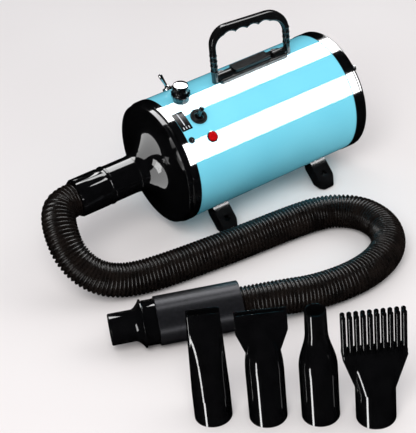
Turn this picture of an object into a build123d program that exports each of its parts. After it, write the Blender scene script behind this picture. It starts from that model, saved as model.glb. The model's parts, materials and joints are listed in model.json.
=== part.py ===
"""Cylinder pet dryer with a hose, a handset and four nozzles, in millimetres.

+X runs along the motor axis to the air intake, -Y is the side with the controls, +Z is up.
The origin is on the floor under the middle of the painted body.
"""

import os
from math import cos, pi, radians, sin, sqrt, tan

from build123d import *

os.makedirs("parts", exist_ok=True)

# Body
BODY_R = 82.5
BODY_LENGTH = 250
SHELL_WALL = 1.2
AXIS_HEIGHT = 100
FRONT = -BODY_LENGTH / 2
REAR = BODY_LENGTH / 2
SHELL_IN = BODY_R - SHELL_WALL
SLIP = 0.1  # gap between a pushed-in spigot and its wall
RIM_R = BODY_R + 0.8  # black end rings stand a little proud of the paint
COVER_FRONT = REAR + 12.4
COVER_THICKNESS = 5.6

# Front outlet
FLANGE_X = FRONT - 11.5
FLANGE_FRONT = FLANGE_X - 5.5
NECK_X = -176
NECK_R = 25
SPIGOT_R = 22.5
CUFF_JOINT_X = -216
CUFF_END_X = -262

# Hose and handset
HOSE_R = 22
HOSE_BORE_R = 19
HOSE_ROUTE = [
    (CUFF_END_X, 0, AXIS_HEIGHT),
    (-280, 0, 100),
    (-294, -11, 97),
    (-303, -30, 86),
    (-307, -52, 67),
    (-298, -71, 45),
    (-278, -87, 29),
    (-247, -99, 22),
    (-204, -109, 22),
    (-146, -117, 22),
    (-84, -124, 22),
    (-26, -129, 22),
    (26, -138, 22),
    (59, -170, 22),
    (62, -218, 22),
    (33, -260, 22),
    (-22, -277, 22),
    (-86, -268, 22),
]
ARC_SHARE = 0.45  # share of the shorter run that an arc of the hose may use
GRIP_R = 30
GRIP_LENGTH = 103
GRIP_TURN = 157.2  # heading of the handset, degrees from +X towards +Y
GRIP_START = (-178, -236)
GRIP_SLEEVE_WALL = 2.2
COLLAR_END = 119
TIP_START = 130
TIP_END = 160
TIP_R = 19.3
TIP_BORE_R = 16.5

# Carrying handle
HANDLE_FRONT = -36
HANDLE_REAR = 70
BAIL_LEG = 8
BAIL_DEPTH = 11
HINGE_Y = -3
HINGE_Z = 189
PIN_R = 2
RUNNING = 0.05  # radial gap of a running fit

# Controls: place along the body, and angle from the top towards the control side
KNOB_AT = (-98.5, 6.8)
TOGGLE_AT = (-94.3, 30.5)
LAMP_AT = (-90.5, 51.7)
LEVER_AT = (-86, -29)
LEVER_TILT = 12
LABEL_SPAN = (18.5, 38)

# Feet
FOOT_X = 80
FOOT_WIDTH = 24
FOOT_SCREW_ANGLE = 149  # from the top of the body round to the screw that holds a foot
PAD_HEIGHT = 2

# Screws
SCREW_R = 2
SCREW_HEAD_R = 4
RING_SCREW_ANGLES = (47.6, 167.6, 287.6)
RING_SCREW_X = FRONT + 5.4
COVER_SCREW_RADIUS = 78.4
GLAND_DROP = 67.5  # the cord gland's distance below the axis
GLAND_BORE_R = 4
GLAND_LENGTH = 21

# Motor and fan
SHAFT_R = 4
STATOR_R = 42
ROTOR_R = 25.4
FAN_R = 58
SHROUD_R = 64

# Nozzles
NOZZLE_R = 21.5
NOZZLE_BORE_R = 19.5
NOZZLE_BORE = 28
NOZZLE_WALL = 2
NOZZLE_HEIGHT = 148
NOZZLE_TURN = -30  # the flat nozzles face the person who looks at the controls

BODY_AXIS = Axis((0, 0, AXIS_HEIGHT), (1, 0, 0))
ACROSS = Plane(origin=(0, 0, AXIS_HEIGHT), x_dir=(0, 1, 0), z_dir=(1, 0, 0))


def keep(builder, name):
    """Name a finished piece and write it."""
    builder.part.label = name
    export_step(builder.part, f"parts/{name}.step")


def on_body(x, angle, radius=BODY_R):
    """A plane on the body's surface, facing outwards, with its X along the body."""
    turn = radians(angle)
    outward = (0, -sin(turn), cos(turn))
    origin = (x, radius * outward[1], AXIS_HEIGHT + radius * outward[2])
    return Plane(origin=origin, x_dir=(1, 0, 0), z_dir=outward)


def turned(profile):
    """A solid turned about the body's axis from (x, radius) points."""
    with BuildPart() as piece:
        with BuildSketch(Plane.XZ):
            with BuildLine():
                Polyline([(x, AXIS_HEIGHT + r) for x, r in profile], close=True)
            make_face()
        revolve(axis=BODY_AXIS)
    return piece


def tube(front, rear, outer, inner):
    """A plain tube about the body's axis."""
    return turned([(front, inner), (rear, inner), (rear, outer), (front, outer)])


def beside(plane):
    """The plane that holds another plane's normal as its Y and its X as its X."""
    return Plane(origin=plane.origin, x_dir=plane.x_dir, z_dir=-plane.y_dir)


def spun(plane, profile):
    """A solid turned about a plane's normal from (radius, height) points."""
    with BuildPart() as piece:
        with BuildSketch(beside(plane)):
            with BuildLine():
                Polyline(profile, close=True)
            make_face()
        revolve(axis=Axis(plane.origin, plane.z_dir))
    return piece


# --- Casing ---------------------------------------------------------------------------


def make_body_shell():
    with BuildPart() as shell:
        with BuildSketch(ACROSS.offset(FRONT)):
            Circle(BODY_R)
            Circle(SHELL_IN, mode=Mode.SUBTRACT)
        extrude(amount=BODY_LENGTH)
        drillings = [
            (on_body(*KNOB_AT), 5),
            (on_body(*TOGGLE_AT), 6.2),
            (on_body(*LAMP_AT), 5.2),
            (on_body(*LEVER_AT), 6.2),
        ]
        drillings += [(on_body(RING_SCREW_X, a), SCREW_R + SLIP) for a in RING_SCREW_ANGLES]
        drillings += [(foot_screw_plane(x, side), SCREW_R + SLIP) for x, side in foot_places()]
        drillings += [(handle_screw_plane(x), SCREW_R + SLIP) for x in handle_screw_places()]
        for plane, radius in drillings:
            with BuildSketch(plane.offset(-8)):
                Circle(radius)
            extrude(amount=16, mode=Mode.SUBTRACT)
    keep(shell, "body_shell")


def make_front_ring():
    spigot_end = FRONT + 9
    with BuildPart() as ring:
        with BuildSketch(Plane.XZ):
            with BuildLine():
                Polyline(
                    [
                        (FRONT - 10, AXIS_HEIGHT + 76),
                        (spigot_end, AXIS_HEIGHT + 76),
                        (spigot_end, AXIS_HEIGHT + SHELL_IN - SLIP),
                        (FRONT, AXIS_HEIGHT + SHELL_IN - SLIP),
                        (FRONT, AXIS_HEIGHT + RIM_R),
                        (FRONT - 9, AXIS_HEIGHT + RIM_R),
                        (FRONT - 10, AXIS_HEIGHT + RIM_R - 1),
                    ],
                    close=True,
                )
            make_face()
        revolve(axis=BODY_AXIS)
        for angle in RING_SCREW_ANGLES:
            with BuildSketch(on_body(RING_SCREW_X, angle).offset(-9)):
                Circle(SCREW_R + SLIP)
            extrude(amount=12, mode=Mode.SUBTRACT)
    keep(ring, "front_ring")


def make_front_cone():
    """The outlet: a flange, a horn that narrows to the neck, and a spigot for the cuff."""
    flange_r = 81
    horn_r = 78.5
    horn_depth = FLANGE_FRONT - NECK_X
    wall = 2.5
    with BuildPart() as cone:
        with BuildSketch(Plane.XZ):
            with BuildLine():
                Polyline(
                    (FLANGE_FRONT, AXIS_HEIGHT + horn_r),
                    (FLANGE_FRONT, AXIS_HEIGHT + flange_r),
                    (FLANGE_X, AXIS_HEIGHT + flange_r),
                    (FLANGE_X, AXIS_HEIGHT + 79.5),
                    (FRONT - 10, AXIS_HEIGHT + 79.5),
                    (FRONT - 10, AXIS_HEIGHT + 75.9),
                    (FRONT - 2, AXIS_HEIGHT + 75.9),
                    (FRONT - 2, AXIS_HEIGHT + 73.4),
                    (FLANGE_FRONT + wall, AXIS_HEIGHT + 73.4),
                )
                EllipticalCenterArc(
                    (NECK_X, AXIS_HEIGHT + 73.4),
                    horn_depth + wall,
                    73.4 - (SPIGOT_R - wall),
                    start_angle=0,
                    arc_size=-90,
                )
                Polyline(
                    (NECK_X, AXIS_HEIGHT + SPIGOT_R - wall),
                    (NECK_X - 32, AXIS_HEIGHT + SPIGOT_R - wall),
                    (NECK_X - 32, AXIS_HEIGHT + SPIGOT_R),
                    (NECK_X, AXIS_HEIGHT + SPIGOT_R),
                    (NECK_X, AXIS_HEIGHT + NECK_R),
                )
                EllipticalCenterArc(
                    (NECK_X, AXIS_HEIGHT + horn_r),
                    horn_depth,
                    horn_r - NECK_R,
                    start_angle=0,
                    arc_size=-90,
                )
            make_face()
        revolve(axis=BODY_AXIS)
    keep(cone, "front_cone")


def make_rear_ring():
    band_end = COVER_FRONT - 0.2
    with BuildPart() as ring:
        with BuildSketch(Plane.XZ):
            with BuildLine():
                Polyline(
                    [
                        (REAR - 9, AXIS_HEIGHT + 76),
                        (band_end, AXIS_HEIGHT + 76),
                        (band_end, AXIS_HEIGHT + RIM_R - 1),
                        (band_end - 1, AXIS_HEIGHT + RIM_R),
                        (REAR, AXIS_HEIGHT + RIM_R),
                        (REAR, AXIS_HEIGHT + SHELL_IN - SLIP),
                        (REAR - 9, AXIS_HEIGHT + SHELL_IN - SLIP),
                    ],
                    close=True,
                )
            make_face()
        revolve(axis=BODY_AXIS)
        with BuildSketch(ACROSS.offset(REAR - 10)):
            with PolarLocations(COVER_SCREW_RADIUS, 4, start_angle=45):
                Circle(SCREW_R + SLIP)
        extrude(amount=24, mode=Mode.SUBTRACT)
    keep(ring, "rear_ring")


def make_rear_cover():
    """The intake grille, with rows of slots on each side of a middle rib."""
    thickness = COVER_THICKNESS
    grille_r = 62
    slot_pitch = 9
    with BuildPart() as cover:
        with BuildSketch(ACROSS.offset(COVER_FRONT)):
            Circle(RIM_R)
        extrude(amount=thickness)
        fillet(cover.edges().group_by(Axis.X)[-1], radius=4)
        with BuildSketch(ACROSS.offset(COVER_FRONT)):
            for row in range(-6, 7):
                height = row * slot_pitch
                chord = sqrt(grille_r**2 - height**2) - 4
                if chord > 10:
                    with Locations((chord / 2 + 3, height), (-chord / 2 - 3, height)):
                        SlotOverall(chord - 2, 4.4)
            with Locations((0, -GLAND_DROP)):
                Circle(6.2)
        extrude(amount=thickness, mode=Mode.SUBTRACT)
        with BuildSketch(ACROSS.offset(COVER_FRONT)):
            with PolarLocations(COVER_SCREW_RADIUS, 4, start_angle=45):
                Circle(SCREW_R + SLIP)
        extrude(amount=thickness, mode=Mode.SUBTRACT)
    keep(cover, "rear_cover")


def casing_screw_planes():
    """Where each casing screw's head sits: the front ring, the rear cover and the handle."""
    planes = [on_body(RING_SCREW_X, angle).offset(0.2) for angle in RING_SCREW_ANGLES]
    for angle in (45, 135, 225, 315):
        turn = radians(angle)
        place = (COVER_SCREW_RADIUS * cos(turn), COVER_SCREW_RADIUS * sin(turn), COVER_THICKNESS + 0.1)
        planes.append(Plane(origin=ACROSS.offset(COVER_FRONT).from_local_coords(place), z_dir=(1, 0, 0)))
    planes += [handle_screw_plane(x).offset(1.6) for x in handle_screw_places()]
    return planes


def make_casing_screws():
    """Pan-head screws, all alike but for the length that their place leaves."""
    with BuildPart() as screws:
        for number, plane in enumerate(casing_screw_planes()):
            ring_screw = number < len(RING_SCREW_ANGLES)
            shank = 5 if ring_screw else 14
            with BuildSketch(plane.offset(-shank)):
                Circle(SCREW_R)
            extrude(amount=shank)
            with BuildSketch(plane):
                Circle(SCREW_HEAD_R)
            extrude(amount=2)
            with BuildSketch(plane.offset(1.2)):
                Rectangle(0.9, 5)
                Rectangle(5, 0.9)
            extrude(amount=1, mode=Mode.SUBTRACT)
    keep(screws, "casing_screws")


def make_filter():
    """Foam disc and the frame that holds it against the intake."""
    with BuildPart() as foam:
        with BuildSketch(ACROSS.offset(COVER_FRONT - 16.4)):
            Circle(75.5)
        extrude(amount=10)
    keep(foam, "filter_foam")
    with BuildPart() as frame:
        with BuildSketch(ACROSS.offset(COVER_FRONT - 6.2)):
            Circle(75.8)
            Circle(69, mode=Mode.SUBTRACT)
            Rectangle(5, 145)
            Rectangle(145, 5)
        extrude(amount=3)
    keep(frame, "filter_frame")


def make_cable_gland():
    """A flanged body through the rear cover and the dome nut outside it."""
    origin = (COVER_FRONT - 3, 0, AXIS_HEIGHT - GLAND_DROP)
    place = Plane(origin=origin, x_dir=(0, 1, 0), z_dir=(1, 0, 0))
    profile = [
        (GLAND_BORE_R, 0),
        (8, 0),
        (8, 2.9),
        (6.1, 2.9),
        (6.1, 8.7),
        (9, 8.7),
        (9, 15),
        (7.5, GLAND_LENGTH),
        (GLAND_BORE_R, GLAND_LENGTH),
    ]
    keep(spun(place, profile), "cable_gland")


# --- Outlet cuff, hose and handset ----------------------------------------------------


def make_cuffs():
    inner = tube(CUFF_JOINT_X + 2, NECK_X, 24.5, SPIGOT_R + SLIP)
    keep(inner, "hose_cuff_inner")
    rib_count = 12
    with BuildPart() as outer:
        with BuildSketch(ACROSS.offset(CUFF_END_X)):
            Circle(25)
            Circle(HOSE_BORE_R, mode=Mode.SUBTRACT)
        extrude(amount=CUFF_JOINT_X - CUFF_END_X)
        with BuildSketch(ACROSS.offset(CUFF_JOINT_X)):
            Circle(25.6)
            Circle(SPIGOT_R + SLIP, mode=Mode.SUBTRACT)
        extrude(amount=2)
        with BuildSketch(ACROSS.offset(CUFF_END_X)):
            with PolarLocations(25.3, rib_count):
                Circle(1.1)
        extrude(amount=CUFF_JOINT_X - CUFF_END_X - 4, mode=Mode.SUBTRACT)
    keep(outer, "hose_cuff_outer")


def grip_plane(along):
    """A plane across the handset, at a distance from the end where the hose goes in."""
    turn = radians(GRIP_TURN)
    heading = Vector(cos(turn), sin(turn), 0)
    start = Vector(GRIP_START[0], GRIP_START[1], GRIP_R)
    return Plane(origin=start + heading * along, x_dir=(0, 0, 1), z_dir=heading)


def arc_radii(points):
    """As large a radius at each corner as its two runs allow."""
    radii = []
    for before, corner, after in zip(points, points[1:], points[2:]):
        run_in = corner - before
        run_out = after - corner
        turn = radians(run_in.get_angle(run_out))
        radii.append(ARC_SHARE * min(run_in.length, run_out.length) / tan(turn / 2))
    return radii


def make_hose():
    """A plain tube along straight runs joined by arcs, from the cuff to the handset."""
    points = [Vector(*p) for p in HOSE_ROUTE]
    points += [grip_plane(-46).origin, grip_plane(4).origin]
    radii = arc_radii(points)
    print("hose arc radii", [round(r, 1) for r in radii])
    with BuildPart() as hose:
        with BuildLine() as route:
            FilletPolyline(*points, radius=radii)
        with BuildSketch(Plane(origin=points[0], x_dir=(0, 1, 0), z_dir=(-1, 0, 0))):
            Circle(HOSE_R)
            Circle(HOSE_BORE_R, mode=Mode.SUBTRACT)
        sweep()
    length = sum(edge.length for edge in route.edges())
    section = pi * (HOSE_R**2 - HOSE_BORE_R**2)
    print("hose length", round(length), "volume share", round(hose.part.volume / section / length, 4))
    keep(hose, "hose")


def make_handset():
    sleeve_in = GRIP_R - GRIP_SLEEVE_WALL
    with BuildPart() as sleeve:
        with BuildSketch(grip_plane(0)):
            Circle(GRIP_R)
            Circle(sleeve_in, mode=Mode.SUBTRACT)
        extrude(amount=GRIP_LENGTH)
        chamfer(sleeve.edges().filter_by(GeomType.CIRCLE).sort_by(SortBy.RADIUS)[-2:], length=0.6)
    keep(sleeve, "grip_sleeve")
    core = spun(grip_plane(0), [(18, 4), (sleeve_in - SLIP, 4), (sleeve_in - SLIP, 100), (18, 100)])
    keep(core, "grip_core")
    with BuildPart() as adaptor:
        with BuildSketch(beside(grip_plane(0))):
            with BuildLine():
                Polyline(
                    (TIP_BORE_R, 100),
                    (27.6, 100),
                    (27.6, COLLAR_END),
                    (GRIP_R - 0.2, COLLAR_END),
                    (GRIP_R - 0.2, COLLAR_END + 2),
                    (26, COLLAR_END + 4),
                )
                Spline((26, COLLAR_END + 4), (21.5, COLLAR_END + 8), (TIP_R, TIP_START))
                Polyline(
                    (TIP_R, TIP_START),
                    (TIP_R, TIP_END - 1),
                    (TIP_R - 1, TIP_END),
                    (TIP_BORE_R, TIP_END),
                    (TIP_BORE_R, 100),
                )
            make_face()
        revolve(axis=Axis(grip_plane(0).origin, grip_plane(0).z_dir))
    keep(adaptor, "handset_adaptor")


# --- Carrying handle ------------------------------------------------------------------


def handle_screw_places():
    return (HANDLE_FRONT + 11, HANDLE_REAR - 11)


def handle_screw_plane(x):
    """Screws stand upright beside the hinge barrels."""
    return Plane(origin=(x, 6, 186), x_dir=(1, 0, 0), z_dir=(0, 0, 1))


def hinge_plane(x):
    """The plane across the hinge axis at a place along the body."""
    return Plane(origin=(x, HINGE_Y, HINGE_Z), x_dir=(0, 1, 0), z_dir=(1, 0, 0))


def make_handle_base():
    length = HANDLE_REAR - HANDLE_FRONT
    middle = (HANDLE_FRONT + HANDLE_REAR) / 2
    barrel_length = 20
    along = hinge_plane(HANDLE_FRONT)
    with BuildPart() as base:
        with BuildSketch(Plane.XY.offset(AXIS_HEIGHT + 78)):
            with Locations((middle, 0)):
                RectangleRounded(length, 23, 3)
        extrude(amount=9.5)
        fillet(base.edges().group_by(Axis.Z)[-1], radius=1.5)
        with BuildSketch(Plane.XY.offset(AXIS_HEIGHT + 86)):
            with Locations((middle, 0)):
                RectangleRounded(length - 2 * barrel_length - 10, 17, 2)
        extrude(amount=6.5)
        with BuildSketch(along, along.offset(length - barrel_length)):
            Circle(5)
        extrude(amount=barrel_length)
        with BuildSketch(ACROSS.offset(HANDLE_FRONT - 5)):
            Circle(BODY_R + 0.05)
        extrude(amount=length + 10, mode=Mode.SUBTRACT)
        with BuildSketch(along, along.offset(length - barrel_length)):
            Circle(PIN_R + RUNNING)
        extrude(amount=barrel_length, mode=Mode.SUBTRACT)
        for x in handle_screw_places():
            with BuildSketch(handle_screw_plane(x).offset(-10)):
                Circle(SCREW_R + SLIP)
            extrude(amount=20, mode=Mode.SUBTRACT)
    keep(base, "handle_base")


def make_handle_pins():
    """One pin at each end, held in the barrel and standing out into the bail's leg."""
    front_end = HANDLE_FRONT - BAIL_LEG + 1
    rear_start = HANDLE_REAR - 18
    with BuildPart() as pins:
        for start in (front_end, rear_start):
            with BuildSketch(hinge_plane(start)):
                Circle(PIN_R)
            extrude(amount=26)
    keep(pins, "handle_pins")


def make_handle_bail():
    """The bail: two legs and an arched grip with finger grooves under it."""
    gap = 0.4
    left = HANDLE_FRONT - gap
    right = HANDLE_REAR + gap
    foot = HINGE_Z - 6
    front_height = 248  # of the grip's underside above the floor, before the grooves
    rear_height = 239
    grip_thickness = 14
    groove_count = 4
    groove_pitch = 24
    groove_r = 15
    groove_depth = 3.5
    slope = (rear_height - front_height) / (right - left)
    inner_corners = [(left, foot), (left, front_height), (right, rear_height), (right, foot)]
    outer_corners = [
        (right + BAIL_LEG, foot),
        (right + BAIL_LEG, rear_height + grip_thickness),
        (left - BAIL_LEG, front_height + grip_thickness),
        (left - BAIL_LEG, foot),
    ]
    with BuildPart() as bail:
        with BuildSketch(Plane.XZ.offset(-HINGE_Y + BAIL_DEPTH / 2)):
            with BuildLine():
                FilletPolyline(*inner_corners, radius=[14, 26])
                Line((right, foot), (right + BAIL_LEG, foot))
                FilletPolyline(*outer_corners, radius=[36, 24])
                Line((left - BAIL_LEG, foot), (left, foot))
            make_face()
        extrude(amount=-BAIL_DEPTH)
        fillet(bail.edges().filter_by(Axis.X).group_by(Axis.Z)[0], radius=BAIL_DEPTH / 2 - 0.5)
        with BuildSketch(Plane.XZ):
            for groove in range(groove_count):
                x = (left + right) / 2 + (groove - (groove_count - 1) / 2) * groove_pitch
                underside = front_height + slope * (x - left)
                with Locations((x, underside + groove_depth - groove_r)):
                    Circle(groove_r)
        extrude(amount=20, both=True, mode=Mode.SUBTRACT)
        across_legs = hinge_plane(left - BAIL_LEG)
        with BuildSketch(across_legs, across_legs.offset(right - left + BAIL_LEG)):
            Circle(PIN_R + RUNNING)
        extrude(amount=BAIL_LEG, mode=Mode.SUBTRACT)
    keep(bail, "handle_bail")


# --- Controls -------------------------------------------------------------------------


def make_speed_knob():
    place = on_body(*KNOB_AT)
    profile = [(3.1, 1), (10, 1), (10.5, 5), (12.6, 9), (12.6, 14), (10.8, 16), (10, 24), (3.1, 24)]
    knob = spun(place, profile)
    keep(knob, "speed_knob")
    cap = spun(place, [(0, 24), (10, 24), (10, 25), (9, 26), (0, 26)])
    keep(cap, "knob_cap")
    shaft = spun(place, [(0, -6), (3, -6), (3, 24), (0, 24)])
    keep(shaft, "knob_shaft")
    bush_in = 3 + RUNNING
    profile = [
        (bush_in, -6.5),
        (bush_in, 0.7),
        (4.8, 0.7),
        (4.8, -3),
        (12, -3),
        (12, -14),
        (0, -14),
        (0, -6.5),
    ]
    keep(spun(place, profile), "speed_control")


def toggle_lever(place, tilt, profile):
    """A lever turned about its own axis, leaning along the body by tilt degrees."""
    pivot = place.offset(-2)
    leaning = Plane(pivot.origin, pivot.x_dir, pivot.z_dir).rotated((0, tilt, 0))
    return spun(leaning, profile)


def make_heat_switch():
    place = on_body(*TOGGLE_AT)
    boot = spun(place, [(6.4, 0.3), (11, 0.3), (11, 2.4), (9.2, 4.2), (6.6, 5), (6.4, 5)])
    keep(boot, "heat_switch_boot")
    booted_lever = [
        (0, -1.5),
        (1.8, -1.5),
        (1.8, 3.6),
        (5, 3.6),
        (3.4, 9),
        (2.4, 12),
        (2.4, 17),
        (3.6, 18.8),
        (3.6, 21.6),
        (2, 23.2),
        (0, 23.2),
    ]
    keep(toggle_lever(place, 0, booted_lever), "heat_switch_lever")
    keep(switch_body(place), "heat_switch_body")


def switch_body(place):
    """The switch inside the shell: a case with a threaded bush through the wall."""
    with BuildPart() as body:
        with BuildSketch(place.offset(-24)):
            Rectangle(22, 13)
        extrude(amount=20.5)
        with BuildSketch(place.offset(-4)):
            Circle(6)
        extrude(amount=4.2)
        with BuildSketch(place.offset(-6)):
            Circle(4.2)
        extrude(amount=8, mode=Mode.SUBTRACT)
    return body


def make_power_switch():
    place = on_body(*LEVER_AT)
    nut = spun(place, [(6.1, 0.3), (8, 0.3), (8, 2.6), (6.6, 3.2), (4.6, 3.2), (4.6, 0.5), (6.1, 0.5)])
    keep(nut, "power_switch_nut")
    bare_lever = [(0, -1.5), (1.8, -1.5), (1.6, 6), (2.9, 22), (2.4, 24.5), (0, 25.5)]
    keep(toggle_lever(place, -LEVER_TILT, bare_lever), "power_switch_lever")
    keep(switch_body(place), "power_switch_body")


def make_lamp():
    place = on_body(*LAMP_AT)
    bezel = spun(place, [(5.1, 0.3), (7.4, 0.3), (7.4, 1), (6.6, 1.6), (5.9, 1.6), (5.1, 1.2)])
    keep(bezel, "lamp_bezel")
    with BuildPart() as lens:
        with BuildSketch(place.offset(-10)):
            Circle(5)
        extrude(amount=11)
        with BuildSketch(place.offset(1.7)):
            Circle(6.2)
        extrude(amount=1.2)
        with BuildSketch(place):
            Circle(5)
        extrude(amount=3.6)
    keep(lens, "lamp_lens")


def make_label():
    """A thin printed plate that follows the body."""
    thickness = 0.5
    with BuildPart() as label:
        with BuildSketch(ACROSS.offset(FRONT + 0.6)):
            Circle(BODY_R + 0.05 + thickness)
            Circle(BODY_R + 0.05, mode=Mode.SUBTRACT)
            with BuildLine():
                low, high = (radians(a) for a in LABEL_SPAN)
                far = BODY_R + 10
                Polyline(
                    (0, 0),
                    (-far * sin(low), far * cos(low)),
                    (-far * sin(high), far * cos(high)),
                    close=True,
                )
            make_face(mode=Mode.INTERSECT)
        extrude(amount=15)
    keep(label, "label_plate")


# --- Feet -----------------------------------------------------------------------------


def foot_places():
    return [(x, side) for x in (-FOOT_X, FOOT_X) for side in (-1, 1)]


def foot_screw_plane(x, side):
    """Each foot is held by a screw through the shell, from inside."""
    return on_body(x, -side * FOOT_SCREW_ANGLE)


def foot_face_plane(x, side):
    """The sloping outer face of a foot, at its screw recess."""
    return Plane(origin=(x, side * 65, 20.6), x_dir=(1, 0, 0), z_dir=(0, side * 0.692, 0.722))


def make_feet():
    for x, side in foot_places():
        with BuildPart() as foot:
            with BuildSketch(Plane.YZ.offset(x - FOOT_WIDTH / 2)):
                with BuildLine():
                    Polyline(
                        [
                            (side * 40, 36),
                            (side * 49, 36),
                            (side * 74, 12),
                            (side * 76, 8),
                            (side * 75, PAD_HEIGHT),
                            (side * 56, PAD_HEIGHT),
                            (side * 50, 8),
                            (side * 36, 20),
                            (side * 34, 30),
                        ],
                        close=True,
                    )
                make_face()
            extrude(amount=FOOT_WIDTH)
            with BuildSketch(ACROSS.offset(x - FOOT_WIDTH)):
                Circle(BODY_R + 0.05)
            extrude(amount=2 * FOOT_WIDTH, mode=Mode.SUBTRACT)
            with BuildSketch(Plane.XY):
                with Locations((x, side * 53)):
                    RectangleRounded(FOOT_WIDTH, 46, 10)
            extrude(amount=40, mode=Mode.INTERSECT)
            with BuildSketch(foot_face_plane(x, side).offset(-6)):
                Circle(4.5)
            extrude(amount=12, mode=Mode.SUBTRACT)
            with BuildSketch(foot_screw_plane(x, side).offset(-2)):
                Circle(SCREW_R + SLIP)
            extrude(amount=12, mode=Mode.SUBTRACT)
        end_name = "rear" if x > 0 else "front"
        side_name = "far" if side > 0 else "near"
        keep(foot, f"foot_{end_name}_{side_name}")


def make_foot_pads():
    with BuildPart() as pads:
        with BuildSketch(Plane.XY):
            with Locations(*[(x, side * 64.5) for x, side in foot_places()]):
                RectangleRounded(FOOT_WIDTH - 8, 13, 3)
        extrude(amount=PAD_HEIGHT)
    keep(pads, "foot_pads")


def make_foot_screws():
    """A screw in each outer recess that holds the pad's insert, and one through the shell."""
    with BuildPart() as screws:
        for x, side in foot_places():
            with BuildSketch(foot_face_plane(x, side).offset(-5.9)):
                Circle(3.8)
            extrude(amount=2.4)
            with BuildSketch(foot_screw_plane(x, side).offset(-4.2)):
                Circle(SCREW_R)
            extrude(amount=13)
            with BuildSketch(foot_screw_plane(x, side).offset(-6.2)):
                Circle(3.6)
            extrude(amount=2)
    keep(screws, "foot_screws")


# --- Motor, fan and heater ------------------------------------------------------------


def make_motor():
    stator_front = -25
    stator_rear = 15
    field = tube(stator_front, stator_rear, STATOR_R, ROTOR_R + 1)
    keep(field, "motor_stator")
    rotor_bore = SHAFT_R
    rotor = turned(
        [
            (-44, rotor_bore),
            (stator_rear, rotor_bore),
            (stator_rear, ROTOR_R),
            (stator_front, ROTOR_R),
            (stator_front, 20),
            (-30, 14),
            (-44, 14),
        ]
    )
    keep(rotor, "motor_rotor")
    shaft = turned([(-56, 0), (96, 0), (96, SHAFT_R), (-56, SHAFT_R)])
    keep(shaft, "motor_shaft")
    bearing_r = 11
    bearing_width = 7
    with BuildPart() as bearings:
        for x in (-55, 24):
            with BuildSketch(ACROSS.offset(x)):
                Circle(bearing_r)
                Circle(SHAFT_R + RUNNING, mode=Mode.SUBTRACT)
            extrude(amount=bearing_width)
    keep(bearings, "motor_bearings")
    brush_plane = Plane(origin=(-40, 0, AXIS_HEIGHT), x_dir=(1, 0, 0), z_dir=(0, 0, 1))
    with BuildPart() as brushes:
        for side in (-1, 1):
            low = 14.3 if side > 0 else -34
            with BuildSketch(brush_plane.offset(low)):
                Rectangle(7, 10)
            extrude(amount=19.7)
    keep(brushes, "carbon_brushes")


def make_motor_brackets():
    """Front bracket: a spider with the bearing seat, on posts to the stator. Rear: the fan plate."""
    bearing_seat = 11.05
    with BuildPart() as front:
        with BuildSketch(ACROSS.offset(-58)):
            Circle(STATOR_R)
            Circle(5.5, mode=Mode.SUBTRACT)
            with PolarLocations(27, 4, start_angle=45):
                Circle(8, mode=Mode.SUBTRACT)
        extrude(amount=3)
        with BuildSketch(ACROSS.offset(-55)):
            Circle(14)
            Circle(bearing_seat, mode=Mode.SUBTRACT)
        extrude(amount=7)
        with BuildSketch(ACROSS.offset(-55)):
            with PolarLocations(36, 4, start_angle=45):
                Circle(4)
        extrude(amount=30)
    keep(front, "motor_bracket_front")
    with BuildPart() as rear:
        with BuildSketch(ACROSS.offset(31)):
            Circle(SHROUD_R)
            Circle(5.5, mode=Mode.SUBTRACT)
            with PolarLocations(50, 8):
                Circle(7, mode=Mode.SUBTRACT)
        extrude(amount=3)
        with BuildSketch(ACROSS.offset(24)):
            Circle(14)
            Circle(bearing_seat, mode=Mode.SUBTRACT)
        extrude(amount=7)
        with BuildSketch(ACROSS.offset(15)):
            with PolarLocations(36, 4, start_angle=45):
                Circle(4)
        extrude(amount=16)
    keep(rear, "motor_bracket_rear")


def make_fan():
    shroud = turned([(34, 62), (98, 62), (98, 26), (100, 26), (100, SHROUD_R), (34, SHROUD_R)])
    keep(shroud, "fan_shroud")
    blade_count = 9
    fan_front = 46
    with BuildPart() as impeller:
        with BuildSketch(ACROSS.offset(fan_front)):
            Circle(FAN_R)
            Circle(SHAFT_R, mode=Mode.SUBTRACT)
        extrude(amount=2)
        with BuildSketch(ACROSS.offset(fan_front + 2)):
            Circle(10)
            Circle(SHAFT_R, mode=Mode.SUBTRACT)
        extrude(amount=24)
        with BuildSketch(ACROSS.offset(fan_front + 2)):
            with PolarLocations(38, blade_count):
                with Locations(Rotation(0, 0, 35)):
                    Rectangle(34, 2)
        extrude(amount=22)
        with BuildSketch(ACROSS.offset(fan_front + 24)):
            Circle(FAN_R)
            Circle(24, mode=Mode.SUBTRACT)
        extrude(amount=2)
    keep(impeller, "fan_impeller")


def make_mounts_and_liner():
    """Rubber rings that carry the motor in the shell, and the foam that quiets it."""
    front = tube(-57, -51, SHELL_IN - SLIP, STATOR_R + SLIP)
    keep(front, "motor_mount_front")
    rear = tube(62, 72, SHELL_IN - SLIP, SHROUD_R + SLIP)
    keep(rear, "motor_mount_rear")
    liner = tube(-8, 52, SHELL_IN - SLIP, 73)
    keep(liner, "foam_liner")


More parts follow.
